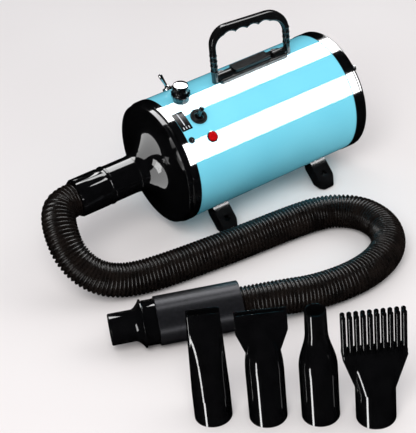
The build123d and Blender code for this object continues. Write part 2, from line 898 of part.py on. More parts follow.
def make_heater():
    """Wire rings on a mica cross, in a duct, with a cutout that opens if the air stops."""
    turns = 7
    coil_r = 34
    wire_r = 1.2
    pitch = 6
    start = -108
    places = []
    for turn in range(turns):
        centre = (start + 4 + pitch * turn, 0, AXIS_HEIGHT + coil_r)
        places.append(Plane(origin=centre, x_dir=(1, 0, 0), z_dir=(0, -1, 0)))
    with BuildPart() as coil:
        for place in places:
            with BuildSketch(place):
                Circle(wire_r)
            revolve(axis=BODY_AXIS)
    keep(coil, "heater_coil")
    with BuildPart() as frame:
        with BuildSketch(ACROSS.offset(start)):
            Rectangle(76, 1.5)
            Rectangle(1.5, 76)
        extrude(amount=pitch * turns + 2)
        for place in places:
            with BuildSketch(place):
                Circle(wire_r + SLIP)
            revolve(axis=BODY_AXIS, mode=Mode.SUBTRACT)
    keep(frame, "heater_frame")
    duct_r = 40
    duct_profile = [
        (-112, duct_r),
        (-62, duct_r),
        (-62, SHELL_IN - SLIP),
        (-64, SHELL_IN - SLIP),
        (-64, duct_r + 1.5),
        (-112, duct_r + 1.5),
    ]
    keep(turned(duct_profile), "heater_duct")
    with BuildPart() as cutout:
        with BuildSketch(Plane(origin=(-70, 0, AXIS_HEIGHT - 42), x_dir=(1, 0, 0), z_dir=(0, 0, -1))):
            Circle(6)
        extrude(amount=7)
    keep(cutout, "thermal_cutout")


def make_control_board():
    board_x = -32
    board_z = AXIS_HEIGHT + 60
    with BuildPart() as board:
        with BuildSketch(Plane.XY.offset(board_z)):
            with Locations((board_x, 0)):
                Rectangle(34, 46)
                with GridLocations(26, 34, 2, 2):
                    Circle(1.6, mode=Mode.SUBTRACT)
        extrude(amount=1.6)
        with BuildSketch(Plane.XY.offset(board_z + 1.6)):
            with Locations((board_x - 6, 8), (board_x + 7, -9)):
                Circle(4)
        extrude(amount=9)
    keep(board, "control_board")
    with BuildPart() as sink:
        with BuildSketch(Plane.XY.offset(board_z - 3)):
            with Locations((board_x, 0)):
                Rectangle(24, 28)
        extrude(amount=2.9)
        with BuildSketch(Plane.XY.offset(board_z - 11)):
            with Locations((board_x, 0)):
                with GridLocations(0, 5, 1, 6):
                    Rectangle(24, 1.4)
        extrude(amount=8)
    keep(sink, "heat_sink")
    with BuildPart() as posts:
        with BuildSketch(Plane.XY.offset(board_z + 1.6)):
            with Locations((board_x, 0)):
                with GridLocations(26, 34, 2, 2):
                    Circle(2.8)
        extrude(amount=15.8)
        with BuildSketch(Plane.XY.offset(board_z - 2)):
            with Locations((board_x, 0)):
                with GridLocations(26, 34, 2, 2):
                    Circle(1.5)
        extrude(amount=4)
    keep(posts, "board_posts")


# --- Nozzles --------------------------------------------------------------------------


def nozzle_plane(x, y, height=0):
    turn = radians(NOZZLE_TURN)
    return Plane(origin=(x, y, height), x_dir=(cos(turn), sin(turn), 0), z_dir=(0, 0, 1))


def plate(middle, thickness, outline):
    """A flat plate, half its thickness on each side of a plane."""
    with BuildPart() as piece:
        with BuildSketch(middle.offset(-thickness / 2)):
            with BuildLine():
                Polyline(outline, close=True)
            make_face()
        extrude(amount=thickness)
    return piece.part


def make_flat_nozzle():
    """Round at its foot, pressed to a wide slot at its mouth."""
    at = (-295.5, -346)
    round_top = 36
    with BuildPart() as nozzle:
        with BuildSketch(nozzle_plane(*at)):
            Circle(NOZZLE_R)
        extrude(amount=round_top)
        with BuildSketch(nozzle_plane(*at, round_top)):
            Circle(NOZZLE_R)
        with BuildSketch(nozzle_plane(*at, NOZZLE_HEIGHT)):
            RectangleRounded(37, 13, 3)
        loft()
        with BuildSketch(nozzle_plane(*at)):
            Circle(NOZZLE_BORE_R)
        extrude(amount=NOZZLE_BORE, mode=Mode.SUBTRACT)
        with BuildSketch(nozzle_plane(*at, NOZZLE_BORE)):
            Circle(NOZZLE_BORE_R - NOZZLE_WALL)
        extrude(amount=round_top - NOZZLE_BORE, mode=Mode.SUBTRACT)
        with BuildSketch(nozzle_plane(*at, round_top)):
            Circle(NOZZLE_BORE_R - NOZZLE_WALL)
        with BuildSketch(nozzle_plane(*at, NOZZLE_HEIGHT)):
            RectangleRounded(33, 9, 3)
        loft(mode=Mode.SUBTRACT)
    keep(nozzle, "flat_nozzle")


def make_fan_nozzle():
    """A round nose that runs into a thin flared blade."""
    at = (-248, -386)
    blade = 9
    shoulder = 66
    nose_top = 130
    flare_top = 124
    blade_half = 28.5
    wall = 2
    front = beside(nozzle_plane(*at))
    outer_blade = [
        (-15, 84),
        (15, 84),
        (blade_half, flare_top),
        (blade_half, NOZZLE_HEIGHT),
        (-blade_half, NOZZLE_HEIGHT),
        (-blade_half, flare_top),
    ]
    inner_blade = [
        (-14, 62),
        (14, 62),
        (14, 86),
        (blade_half - wall, flare_top + 1),
        (blade_half - wall, NOZZLE_HEIGHT),
        (-blade_half + wall, NOZZLE_HEIGHT),
        (-blade_half + wall, flare_top + 1),
        (-14, 86),
    ]
    outer_plate = plate(front, blade, outer_blade)
    inner_plate = plate(front, blade - 2 * wall, inner_blade)
    with BuildPart() as nozzle:
        with BuildSketch(front):
            with BuildLine():
                Polyline((0, nose_top), (0, 0), (NOZZLE_R, 0), (NOZZLE_R, shoulder))
                Bezier((NOZZLE_R, shoulder), (NOZZLE_R, 96), (14, 116), (3, nose_top))
                Line((3, nose_top), (0, nose_top))
            make_face()
        revolve(axis=Axis((*at, 0), (0, 0, 1)))
        add(outer_plate)
        add(inner_plate, mode=Mode.SUBTRACT)
        with BuildSketch(nozzle_plane(*at)):
            Circle(NOZZLE_BORE_R)
        extrude(amount=NOZZLE_BORE, mode=Mode.SUBTRACT)
        with BuildSketch(nozzle_plane(*at, NOZZLE_BORE)):
            Circle(NOZZLE_BORE_R - NOZZLE_WALL)
        extrude(amount=shoulder - NOZZLE_BORE + 6, mode=Mode.SUBTRACT)
    keep(nozzle, "fan_nozzle")


def make_round_nozzle():
    """A bottle shape with a round mouth."""
    at = (-201.5, -422)
    mouth = 12
    shoulder = 70
    neck = 118
    with BuildPart() as nozzle:
        with BuildSketch(beside(nozzle_plane(*at))):
            with BuildLine():
                Polyline((NOZZLE_BORE_R, 0), (NOZZLE_R, 0), (NOZZLE_R, shoulder))
                Bezier((NOZZLE_R, shoulder), (NOZZLE_R, 88), (mouth + 1.5, 100), (mouth + 0.6, neck))
                Polyline(
                    (mouth + 0.6, neck),
                    (mouth, NOZZLE_HEIGHT),
                    (mouth - 2, NOZZLE_HEIGHT),
                    (mouth - 1.4, neck),
                )
                Bezier(
                    (mouth - 1.4, neck),
                    (mouth - 0.5, 100),
                    (NOZZLE_R - NOZZLE_WALL, 88),
                    (NOZZLE_BORE_R - NOZZLE_WALL, shoulder),
                )
                Polyline(
                    (NOZZLE_BORE_R - NOZZLE_WALL, shoulder),
                    (NOZZLE_BORE_R - NOZZLE_WALL, NOZZLE_BORE),
                    (NOZZLE_BORE_R, NOZZLE_BORE),
                    (NOZZLE_BORE_R, 0),
                )
            make_face()
        revolve(axis=Axis((*at, 0), (0, 0, 1)))
    keep(nozzle, "round_nozzle")


def make_comb_nozzle():
    """A flared plenum with two rows of round teeth."""
    at = (-155.8, -463.2)
    foot_r = 22.5
    round_top = 46
    plenum_low = 92
    comb_wide = 71
    comb_thick = 17
    teeth = 10
    tooth_r = 2.7
    wall = 2.5
    pitch = (comb_wide - 2 * tooth_r) / (teeth - 1)
    front = beside(nozzle_plane(*at))

    low = foot_r - 1
    high = comb_wide / 2
    inner_high = high - wall - 1
    outer_flare = plate(
        front, comb_thick, [(-low, round_top), (low, round_top), (high, plenum_low), (-high, plenum_low)]
    )
    inner_flare = plate(
        front,
        comb_thick - 2 * wall,
        [(-14, round_top), (14, round_top), (inner_high, plenum_low), (-inner_high, plenum_low)],
    )
    with BuildPart() as nozzle:
        with BuildSketch(nozzle_plane(*at)):
            Circle(foot_r)
        extrude(amount=round_top)
        with BuildSketch(nozzle_plane(*at, round_top)):
            Circle(foot_r)
        with BuildSketch(nozzle_plane(*at, plenum_low)):
            Ellipse(28, comb_thick / 2)
        loft()
        add(outer_flare)
        with BuildSketch(nozzle_plane(*at, plenum_low)):
            RectangleRounded(comb_wide, comb_thick, 3)
        extrude(amount=5)
        with BuildSketch(nozzle_plane(*at, plenum_low + 2)):
            with GridLocations(pitch, 2 * tooth_r + 1.4, teeth, 2):
                Circle(tooth_r)
        extrude(amount=NOZZLE_HEIGHT - plenum_low - 2)
        fillet(nozzle.edges().filter_by(GeomType.CIRCLE).group_by(Axis.Z)[-1], radius=2)
        with BuildSketch(nozzle_plane(*at)):
            Circle(NOZZLE_BORE_R)
        extrude(amount=NOZZLE_BORE, mode=Mode.SUBTRACT)
        with BuildSketch(nozzle_plane(*at, NOZZLE_BORE)):
            Circle(NOZZLE_BORE_R - NOZZLE_WALL)
        extrude(amount=round_top - NOZZLE_BORE, mode=Mode.SUBTRACT)
        with BuildSketch(nozzle_plane(*at, round_top)):
            Circle(NOZZLE_BORE_R - NOZZLE_WALL)
        with BuildSketch(nozzle_plane(*at, plenum_low)):
            Ellipse(24, comb_thick / 2 - wall)
        loft(mode=Mode.SUBTRACT)
        add(inner_flare, mode=Mode.SUBTRACT)
        with BuildSketch(nozzle_plane(*at, plenum_low - 1)):
            with GridLocations(pitch, 2 * tooth_r + 1.4, teeth, 2):
                Circle(1.2)
        extrude(amount=NOZZLE_HEIGHT, mode=Mode.SUBTRACT)
    keep(nozzle, "comb_nozzle")


MAKERS = [
    make_body_shell,
    make_front_ring,
    make_front_cone,
    make_rear_ring,
    make_rear_cover,
    make_casing_screws,
    make_filter,
    make_cable_gland,
    make_cuffs,
    make_hose,
    make_handset,
    make_handle_base,
    make_handle_pins,
    make_handle_bail,
    make_speed_knob,
    make_heat_switch,
    make_power_switch,
    make_lamp,
    make_label,
    make_feet,
    make_foot_pads,
    make_foot_screws,
    make_motor,
    make_motor_brackets,
    make_fan,
    make_mounts_and_liner,
    make_heater,
    make_control_board,
    make_flat_nozzle,
    make_fan_nozzle,
    make_round_nozzle,
    make_comb_nozzle,
]

for make in MAKERS:
    make()
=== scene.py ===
"""Looks of the pet dryer: an add-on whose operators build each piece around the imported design."""

import json
from math import atan2, cos, degrees, pi, radians, sin, sqrt, tan, tau

import bmesh
import bpy
from bpy.props import FloatProperty, IntProperty, PointerProperty
from bpy.types import Operator, Panel, PropertyGroup
from mathutils import Matrix, Vector


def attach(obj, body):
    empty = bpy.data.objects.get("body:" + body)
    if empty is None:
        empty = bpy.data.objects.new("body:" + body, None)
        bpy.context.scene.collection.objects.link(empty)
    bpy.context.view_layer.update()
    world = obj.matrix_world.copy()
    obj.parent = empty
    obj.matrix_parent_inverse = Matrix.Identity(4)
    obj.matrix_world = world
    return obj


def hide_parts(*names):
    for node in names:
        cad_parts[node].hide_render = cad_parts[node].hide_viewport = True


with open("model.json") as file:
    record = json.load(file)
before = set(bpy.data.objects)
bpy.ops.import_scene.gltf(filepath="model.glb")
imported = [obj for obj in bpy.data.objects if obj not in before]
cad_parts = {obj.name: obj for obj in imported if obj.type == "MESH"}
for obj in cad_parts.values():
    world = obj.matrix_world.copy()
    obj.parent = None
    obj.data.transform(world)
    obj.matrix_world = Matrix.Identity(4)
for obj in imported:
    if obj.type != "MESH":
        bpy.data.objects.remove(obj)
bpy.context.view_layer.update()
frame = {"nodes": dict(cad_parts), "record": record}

bl_info = {
    "name": "Pet dryer",
    "version": (1, 0, 0),
    "blender": (4, 5, 0),
    "location": "View3D > Sidebar > Dryer",
    "description": "Builds the dryer's visible pieces, its finishes and a small studio",
    "category": "Object",
}

# Lengths are in metres and repeat the design's driving dimensions; angles on the body are in
# degrees from its top, towards the side with the controls.
MM = 0.001
BODY_R = 0.0825
AXIS_HEIGHT = 0.1
HOSE_R = 0.022
CUFF_JOINT_X = -0.216
CUFF_END_X = -0.262
GRIP_R = 0.03
GRIP_START = Vector((-0.178, -0.236, GRIP_R))
GRIP_TURN = radians(157.2)
GRIP_HEADING = Vector((cos(GRIP_TURN), sin(GRIP_TURN), 0))
HOSE_ROUTE = [
    (CUFF_END_X, 0, AXIS_HEIGHT),
    (-0.28, 0, 0.1),
    (-0.294, -0.011, 0.097),
    (-0.303, -0.03, 0.086),
    (-0.307, -0.052, 0.067),
    (-0.298, -0.071, 0.045),
    (-0.278, -0.087, 0.029),
    (-0.247, -0.099, 0.022),
    (-0.204, -0.109, 0.022),
    (-0.146, -0.117, 0.022),
    (-0.084, -0.124, 0.022),
    (-0.026, -0.129, 0.022),
    (0.026, -0.138, 0.022),
    (0.059, -0.17, 0.022),
    (0.062, -0.218, 0.022),
    (0.033, -0.26, 0.022),
    (-0.022, -0.277, 0.022),
    (-0.086, -0.268, 0.022),
]
HOSE_RUN_IN = 0.046  # the straight run before the handset
HOSE_SEAT = 0.004  # how far the hose goes into it
CUFF_SEGMENTS = 28 * 6
HANDLE_FRONT = -0.036
HANDLE_REAR = 0.07
HINGE_Y = -0.003
HINGE_Z = 0.189
BAIL_LEG = 0.008
BAIL_DEPTH = 0.011
BAIL_FRONT_HEIGHT = 0.248
BAIL_REAR_HEIGHT = 0.239
BAIL_THICKNESS = 0.014
KNOB_AT = (-0.0985, 6.8)
TOGGLE_AT = (-0.0943, 30.5)
LAMP_AT = (-0.0905, 51.7)
LEVER_AT = (-0.086, -29)
LEVER_TILT = radians(12)
LABEL_X = (-0.1244, -0.1094)
NOZZLES = {
    "flat_nozzle": (-0.2955, -0.346),
    "fan_nozzle": (-0.248, -0.386),
    "round_nozzle": (-0.2015, -0.422),
    "comb_nozzle": (-0.1558, -0.4632),
}
NOZZLE_R = 0.0215
SWITCH_SINK = 0.002  # the levers' pivots lie this far below the body's surface
# The edges of the two white reflections along the body, as angles.
BODY_BANDS = {"strip_high": (4.3, 25), "strip_low": (47.7, 68.1)}


# --- Helpers --------------------------------------------------------------------------


def add_node(tree, kind, inputs=None, **settings):
    """Add a node, set its own settings, then give each named input a value or a link."""
    node = tree.nodes.new(kind)
    for key, value in settings.items():
        setattr(node, key, value)
    for key, value in (inputs or {}).items():
        if isinstance(value, bpy.types.NodeSocket):
            tree.links.new(value, node.inputs[key])
        else:
            node.inputs[key].default_value = value
    return node


def linear(code):
    """An sRGB hex colour as linear red, green, blue and alpha."""
    values = []
    for start in (0, 2, 4):
        share = int(code[start : start + 2], 16) / 255
        values.append(share / 12.92 if share <= 0.04045 else ((share + 0.055) / 1.055) ** 2.4)
    return (*values, 1)


def new_object(name, mesh, body, slot, replaced=(), finish=None):
    """Link a finished mesh as a piece of one body, with its finish and the nodes it stands for."""
    piece = bpy.data.objects.new(name, mesh)
    bpy.context.scene.collection.objects.link(piece)
    mesh.materials.clear()
    mesh.materials.append(finish_named(finish or slot))
    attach(piece, body)
    if replaced:
        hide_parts(*replaced)
    return piece


def mesh_from(name, vertices, faces, smooth_angle=35):
    """A clean mesh with faces outwards; edges sharper than the angle stay sharp."""
    mesh = bpy.data.meshes.new(name)
    mesh.from_pydata(vertices, [], faces)
    work = bmesh.new()
    work.from_mesh(mesh)
    bmesh.ops.remove_doubles(work, verts=work.verts, dist=1e-6)
    bmesh.ops.recalc_face_normals(work, faces=work.faces)
    for face in work.faces:
        face.smooth = True
    for edge in work.edges:
        edge.smooth = edge.is_manifold and degrees(edge.calc_face_angle(0)) < smooth_angle
    work.to_mesh(mesh)
    work.free()
    return mesh


def frame_axes(direction, hint):
    """Two unit vectors across a direction, the first as near to the hint as it can be."""
    along = Vector(direction).normalized()
    first = (hint - along * hint.dot(along)).normalized()
    return first, along.cross(first)


def lathe(name, origin, direction, profile, segments=96, shape=None):
    """A solid turned about a line from (radius, distance) points.

    A shape function may vary the radius round the line, point by point.
    """
    first, second = frame_axes(direction, Vector((0.3, 0.2, 1)))
    along = Vector(direction).normalized()
    vertices = []
    faces = []
    for step in range(segments):
        angle = tau * step / segments
        spoke = first * cos(angle) + second * sin(angle)
        for number, (radius, distance) in enumerate(profile):
            if shape:
                radius = shape(number, angle, radius)
            vertices.append(Vector(origin) + along * distance + spoke * radius)
    count = len(profile)
    for step in range(segments):
        this = step * count
        after = (step + 1) % segments * count
        for number in range(count - 1):
            faces.append((this + number, this + number + 1, after + number + 1, after + number))
    return mesh_from(name, vertices, faces)


def on_body(x, angle, radius=BODY_R):
    """The point on the body at a place along it and an angle from its top, and the way out from it."""
    outward = Vector((0, -sin(radians(angle)), cos(radians(angle))))
    return Vector((x, 0, AXIS_HEIGHT)) + outward * radius, outward


def fluted(number, angle, radius, flats=14):
    """Flat between one edge and the next, on the two profile points of the long outer wall."""
    if number not in (2, 3):
        return radius
    within = angle % (tau / flats) - pi / flats
    return radius * cos(pi / flats) / cos(within)


def corner_arcs(corners, radii, steps=10):
    """The outline through some corners, each rounded by its radius."""
    points = [Vector(corners[0])]
    for before, corner, after, radius in zip(corners, corners[1:], corners[2:], radii):
        corner = Vector(corner)
        back = (Vector(before) - corner).normalized()
        on = (Vector(after) - corner).normalized()
        half = back.angle(on) / 2
        middle = corner + (back + on).normalized() * (radius / sin(half))
        first = corner + back * (radius / tan(half)) - middle
        last = corner + on * (radius / tan(half)) - middle
        for step in range(steps + 1):
            points.append(middle + first.slerp(last, step / steps) * radius)
    points.append(Vector(corners[-1]))
    return points


def round_edged_plate(name, outline, middle_y, depth, edge):
    """A plate cut to an outline of (x, z) points, with its edges rounded all round."""
    curve = bpy.data.curves.new(name, "CURVE")
    curve.dimensions = "2D"
    curve.fill_mode = "BOTH"
    curve.extrude = depth / 2 - edge
    curve.bevel_depth = edge
    curve.bevel_resolution = 4
    curve.offset = -edge
    spline = curve.splines.new("POLY")
    spline.points.add(len(outline) - 1)
    for control, (x, z) in zip(spline.points, outline):
        control.co = (x, z, 0, 1)
    spline.use_cyclic_u = True
    flat = bpy.data.objects.new(name, curve)
    mesh = bpy.data.meshes.new_from_object(flat)
    bpy.data.objects.remove(flat)
    mesh.transform(Matrix.Translation((0, middle_y, 0)) @ Matrix.Rotation(pi / 2, 4, "X"))
    vertices = [v.co.copy() for v in mesh.vertices]
    faces = [tuple(f.vertices) for f in mesh.polygons]
    return mesh_from(name, vertices, faces, 40)


def joined(name, meshes):
    """Several meshes as one, for pieces that are made of more than one solid."""
    vertices = []
    faces = []
    for mesh in meshes:
        start = len(vertices)
        vertices += [v.co.copy() for v in mesh.vertices]
        faces += [tuple(start + v for v in f.vertices) for f in mesh.polygons]
    return mesh_from(name, vertices, faces, 40)


def evaluated(tree, name, inputs, source=None):
    """Run a Geometry Nodes tree on an object and keep the result as a plain mesh."""
    base = source or bpy.data.objects.new(name, bpy.data.meshes.new(name))
    if source is None:
        bpy.context.scene.collection.objects.link(base)
    modifier = base.modifiers.new(name, "NODES")
    modifier.node_group = tree
    for item in tree.interface.items_tree:
        if item.item_type == "SOCKET" and item.in_out == "INPUT" and item.name in inputs:
            modifier[item.identifier] = inputs[item.name]
    bpy.context.view_layer.update()
    depsgraph = bpy.context.evaluated_depsgraph_get()
    mesh = bpy.data.meshes.new_from_object(base.evaluated_get(depsgraph))
    mesh.name = name
    base.modifiers.remove(modifier)
    if source is None:
        bpy.data.objects.remove(base)
    return mesh


def new_tree(name, inputs, on_geometry=False):
    """An empty Geometry Nodes tree with an input socket for each value and one geometry output."""
    tree = bpy.data.node_groups.new(name, "GeometryNodeTree")
    if on_geometry:
        tree.interface.new_socket("Geometry", in_out="INPUT", socket_type="NodeSocketGeometry")
    kinds = {int: "NodeSocketInt", float: "NodeSocketFloat", bpy.types.Material: "NodeSocketMaterial"}
    for label, value in inputs.items():
        socket = tree.interface.new_socket(label, in_out="INPUT", socket_type=kinds[type(value)])
        socket.default_value = value
    tree.interface.new_socket("Geometry", in_out="OUTPUT", socket_type="NodeSocketGeometry")
    return tree, add_node(tree, "NodeGroupInput").outputs


def end_tree(tree, geometry, material):
    """Realise what was made, give it its material, and pass it to the output."""
    real = add_node(tree, "GeometryNodeRealizeInstances", {"Geometry": geometry})
    smooth = add_node(tree, "GeometryNodeSetShadeSmooth", {"Geometry": real.outputs[0]})
    painted = add_node(
        tree, "GeometryNodeSetMaterial", {"Geometry": smooth.outputs[0], "Material": material}
    )
    add_node(tree, "NodeGroupOutput", {"Geometry": painted.outputs[0]})


# --- Finishes -------------------------------------------------------------------------


def start_material(name):
    """A material with its shader and its pattern coordinates in millimetres."""
    material = bpy.data.materials.new(name)
    material.use_nodes = True
    tree = material.node_tree
    shader = tree.nodes["Principled BSDF"]
    place = add_node(tree, "ShaderNodeTexCoord").outputs["Object"]
    in_mm = add_node(
        tree, "ShaderNodeVectorMath", {0: place, "Scale": 1000}, operation="SCALE"
    ).outputs[0]
    return material, tree, shader, in_mm


def spread(tree, place, size_mm, low, high, detail=3.0, rough=0.5):
    """A noise of that grain, mapped onto a range of plain values."""
    noise = add_node(
        tree,
        "ShaderNodeTexNoise",
        {"Vector": place, "Scale": 1 / size_mm, "Detail": detail, "Roughness": rough},
    )
    return add_node(
        tree,
        "ShaderNodeMapRange",
        {
            "Value": noise.outputs["Fac"],
            "From Min": 0.3,
            "From Max": 0.7,
            "To Min": low,
            "To Max": high,
        },
    ).outputs[0]


def calculated(tree, operation, *values):
    """The result of one sum on two numbers, or on one."""
    return add_node(tree, "ShaderNodeMath", dict(enumerate(values)), operation=operation).outputs[0]


def tinted(tree, share, low, high):
    """A colour between two, by a share."""
    return add_node(
        tree,
        "ShaderNodeMix",
        {"Factor": share, 6: linear(low), 7: linear(high)},
        data_type="RGBA",
    ).outputs[2]


def rounded_edges(tree, shader, radius_mm, height=None, depth_mm=0.02):
    """Edges that shade as if they had a small radius, and a fine relief if one is given."""
    normal = add_node(tree, "ShaderNodeBevel", {"Radius": radius_mm * MM}, samples=6).outputs[0]
    if height is not None:
        normal = add_node(
            tree,
            "ShaderNodeBump",
            {"Height": height, "Distance": depth_mm * MM, "Strength": 1, "Normal": normal},
        ).outputs[0]
    tree.links.new(normal, shader.inputs["Normal"])


def plastic(name, low, high, roughness, grain_mm, relief_mm, coat=0.0, bevel_mm=0.5):
    """A moulded plastic: slightly uneven colour and gloss, with a fine grain."""
    material, tree, shader, place = start_material(name)
    shader.inputs["IOR"].default_value = 1.5
    shader.inputs["Coat Weight"].default_value = coat
    shader.inputs["Coat Roughness"].default_value = 0.03
    shade = spread(tree, place, 18, 0, 1)
    tree.links.new(tinted(tree, shade, low, high), shader.inputs["Base Color"])
    gloss = spread(tree, place, 6, roughness * 0.85, roughness * 1.2)
    tree.links.new(gloss, shader.inputs["Roughness"])
    rounded_edges(tree, shader, bevel_mm, spread(tree, place, grain_mm, 0, 1), relief_mm)
    return material


def metal(name, low, high, roughness, brush=(1, 1, 1), relief_mm=0.002):
    """A metal whose grain is drawn out along an axis by brush."""
    material, tree, shader, place = start_material(name)
    shader.inputs["Metallic"].default_value = 1
    drawn = add_node(
        tree, "ShaderNodeVectorMath", {0: place, 1: brush}, operation="MULTIPLY"
    ).outputs[0]
    shade = spread(tree, drawn, 3, 0, 1)
    tree.links.new(tinted(tree, shade, low, high), shader.inputs["Base Color"])
    gloss = spread(tree, drawn, 1.5, roughness * 0.8, roughness * 1.3)
    tree.links.new(gloss, shader.inputs["Roughness"])
    rounded_edges(tree, shader, 0.25, spread(tree, drawn, 0.8, 0, 1), relief_mm)
    return material


def blue_enamel():
    """Baked gloss enamel on steel: a light blue with a clear, faintly wavy surface."""
    material, tree, shader, place = start_material("blue_enamel")
    shader.inputs["Roughness"].default_value = 0.6
    shader.inputs["Specular IOR Level"].default_value = 0
    shader.inputs["Coat Weight"].default_value = 1
    shader.inputs["Coat IOR"].default_value = 1.55
    shader.inputs["Coat Roughness"].default_value = 0.015
    shade = spread(tree, place, 90, 0, 1, detail=1)
    tree.links.new(tinted(tree, shade, "79d6ec", "83def2"), shader.inputs["Base Color"])
    rounded_edges(tree, shader, 0.3, spread(tree, place, 14, 0, 1, detail=1), 0.01)
    return material


def black_gloss_abs():
    """Injection-moulded ABS with a polished surface."""
    return plastic("black_gloss_abs", "060607", "0b0b0c", 0.07, 30, 0.01, coat=1, bevel_mm=0.6)


def black_nylon():
    """Glass-filled nylon with a fine moulded grain."""
    return plastic("black_nylon", "0a0a0b", "121213", 0.2, 1.2, 0.006, coat=0.5, bevel_mm=0.8)


def hose_pvc():
    """Corrugated PVC: near black, with a brown cast where it is thin."""
    return plastic("hose_pvc", "0d0a09", "1c1613", 0.26, 5, 0.004, coat=0.25, bevel_mm=0.2)


def grip_satin():
    """Aluminium tube with a dark satin coat."""
    material, tree, shader, place = start_material("grip_satin")
    shader.inputs["Metallic"].default_value = 0.6
    shader.inputs["Roughness"].default_value = 0.3
    shader.inputs["IOR"].default_value = 1.5
    shade = spread(tree, place, 4, 0, 1)
    tree.links.new(tinted(tree, shade, "232326", "2c2c30"), shader.inputs["Base Color"])
    rounded_edges(tree, shader, 0.5, spread(tree, place, 0.5, 0, 1), 0.004)
    return material


def chrome_plate():
    """Bright nickel-chrome plate."""
    return metal("chrome_plate", "dcdcde", "f0f0f2", 0.06)


def steel():
    """Zinc-plated steel."""
    return metal("steel", "a9abae", "c4c6c8", 0.22, brush=(1, 3, 1), relief_mm=0.004)


def rubber_black():
    """Moulded rubber, dull, with a dusty bloom."""
    return plastic("rubber_black", "0e0e0f", "19191a", 0.55, 0.7, 0.01, bevel_mm=0.4)


def lamp_red():
    """Clear red lens over a neon lamp, lit from inside."""
    material, tree, shader, place = start_material("lamp_red")
    shader.inputs["Roughness"].default_value = 0.08
    shader.inputs["IOR"].default_value = 1.49
    shader.inputs["Transmission Weight"].default_value = 0.25
    shader.inputs["Coat Weight"].default_value = 1
    shade = spread(tree, place, 3, 0, 1)
    tint = tinted(tree, shade, "b80810", "e01418")
    tree.links.new(tint, shader.inputs["Base Color"])
    tree.links.new(tint, shader.inputs["Emission Color"])
    shader.inputs["Emission Strength"].default_value = 0.04
    rounded_edges(tree, shader, 0.2)
    return material


def label_black():
    """Printed polyester film."""
    return plastic("label_black", "08080a", "0e0e10", 0.18, 2, 0.002, bevel_mm=0.1)


def label_ink():
    """Light grey printing ink."""
    return plastic("label_ink", "c9cbd0", "dddfe3", 0.4, 1, 0.002, bevel_mm=0.05)


def foam_grey():
    """Open-cell filter foam."""
    return plastic("foam_grey", "1b1b1c", "3a3a3c", 0.9, 1.6, 0.9, bevel_mm=0.3)


def motor_iron():
    """Stacked steel laminations."""
    return metal("motor_iron", "5a5b60", "77787c", 0.4, brush=(6, 0.2, 0.2), relief_mm=0.05)


def cast_alloy():
    """Die-cast aluminium alloy with a sandy skin."""
    return metal("cast_alloy", "a4a6aa", "bfc1c4", 0.42, relief_mm=0.02)


def mica():
    """Mica sheet with flaky layers."""
    return plastic("mica", "8d7c5e", "c2ad84", 0.35, 9, 0.05, bevel_mm=0.1)


def heater_wire():
    """Nickel-chromium wire, browned by heat."""
    return metal("heater_wire", "6a5a52", "8f867f", 0.3)


def board_green():
    """Solder mask on a glass-fibre board."""
    return plastic("board_green", "0c4a22", "12602d", 0.25, 2, 0.01, bevel_mm=0.1)


FINISHES = [
    blue_enamel,
    black_gloss_abs,
    black_nylon,
    hose_pvc,
    grip_satin,
    chrome_plate,
    steel,
    rubber_black,
    lamp_red,
    label_black,
    label_ink,
    foam_grey,
    motor_iron,
    cast_alloy,
    mica,
    heater_wire,
    board_green,
]


def dryer_meshes():
    """Every mesh object that belongs to the dryer, in a fixed order."""
    meshes = [o for o in bpy.data.objects if o.type == "MESH" and o.name != "floor"]
    return sorted(meshes, key=lambda o: o.name)


def finish_named(slot):
    """The finish made for one of the record's material slots, or for the printed marks."""
    return bpy.data.materials[slot]


# --- Settings -------------------------------------------------------------------------


class HoseSettings(PropertyGroup):
    """Sizes of the corrugated hose."""

    pitch: FloatProperty(
        name="Ridge pitch", description="Distance between ridges", default=0.0048, unit="LENGTH"
    )
    depth: FloatProperty(
        name="Ridge depth", description="Height of a ridge", default=0.0032, unit="LENGTH"
    )
    around: IntProperty(name="Segments", description="Segments round the hose", default=56)
    steps: IntProperty(name="Steps", description="Sections for each ridge", default=8)


class LightSettings(PropertyGroup):
    """Strength of the studio's lights."""

    strip: FloatProperty(
        name="Strip brightness", description="Brightness of the narrow reflections", default=22
    )
    soft: FloatProperty(
        name="Card brightness", description="Brightness of the broad reflections", default=7
    )
    key: FloatProperty(
        name="Key power", description="Power of the main soft light in watts", default=44
    )
    fill: FloatProperty(
        name="Fill power", description="Power of the second soft light in watts", default=10
    )
    room: FloatProperty(
        name="Room brightness", description="Light that arrives from all round", default=0.78
    )


# --- Operators ------------------------------------------------------------------------


class DRYER_OT_camera(Operator):
    """Place the camera that looks down on the control side"""

    bl_idname = "dryer.camera"
    bl_label = "Camera"

    def execute(self, context):
        azimuth = radians(-30.63)
        elevation = radians(34.92)
        roll = radians(-6)
        distance = 2.0397
        target = Vector((-0.0709, 0, -0.0163))
        back = Vector((sin(azimuth) * cos(elevation), -cos(azimuth) * cos(elevation), sin(elevation)))
        right = Vector((cos(azimuth), sin(azimuth), 0))
        up = back.cross(right)
        rolled_right = right * cos(roll) + up * sin(roll)
        rolled_up = up * cos(roll) - right * sin(roll)
        data = bpy.data.cameras.new("camera")
        data.lens = 129.8
        data.sensor_fit = "HORIZONTAL"
        data.sensor_width = 36
        camera = bpy.data.objects.new("camera", data)
        context.scene.collection.objects.link(camera)
        turn = Matrix((rolled_right, rolled_up, back)).transposed().to_4x4()
        camera.matrix_world = Matrix.Translation(target + back * distance) @ turn
        context.scene.camera = camera
        return {"FINISHED"}


